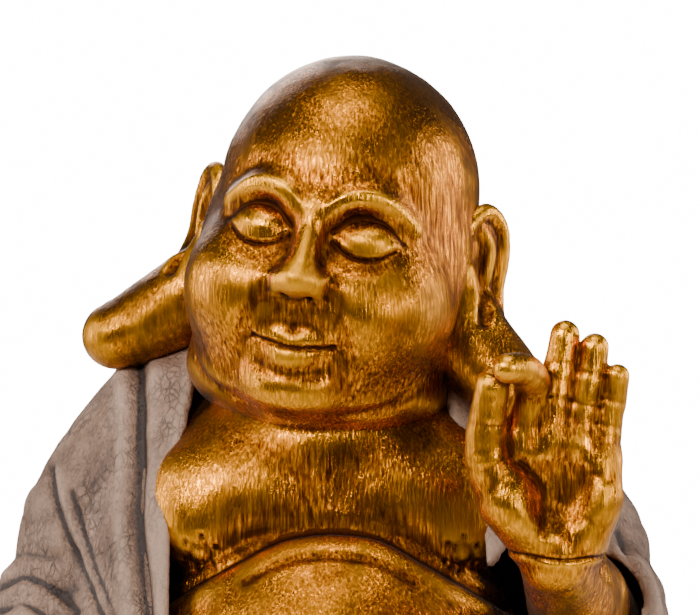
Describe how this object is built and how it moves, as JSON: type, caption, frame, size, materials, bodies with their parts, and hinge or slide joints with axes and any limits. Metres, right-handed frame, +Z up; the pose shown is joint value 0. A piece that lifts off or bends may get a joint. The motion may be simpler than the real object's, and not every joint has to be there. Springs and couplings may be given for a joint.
{
  "type": "seated monk figure",
  "caption": "Seated cross-legged temple figure with bare gilded chest, raised hand and open robe, on a closed felt-covered base.",
  "frame": {"origin": "on the underside of the felt, under the neck's middle line", "axes": "+Z up, the figure faces -Y, its own left hand is on the +X side"},
  "size_m": [0.368, 0.2542, 0.4149],
  "materials": {
    "gilding": "gilded and brushed over a cast body, dark patina in the hollows",
    "robe": "matt weathered grey-brown with bark-like cracks",
    "felt": "short-napped felt",
    "board": "plain board",
    "steel": "plain steel",
    "ballast": "rough cast",
    "dowel": "turned beech"
  },
  "bodies": {
    "root": {"base_felt": "felt", "base_board": "board", "base_screws": "steel", "ballast": "ballast", "robe_lap": "robe", "robe_body": "robe", "sleeve_left": "robe", "sleeve_right": "robe", "torso_shell": "gilding", "head_shell": "gilding", "ear_left": "gilding", "ear_right": "gilding", "forearm_left": "gilding", "forearm_right": "gilding", "hand_left": "gilding", "hand_right": "gilding", "foot_left": "gilding", "foot_right": "gilding", "neck_plug": "dowel", "shoulder_dowels": "dowel", "wrist_dowels": "dowel", "ear_pins": "steel", "foot_pins": "steel", "torso_screws": "steel"}
  },
  "joints": []
}
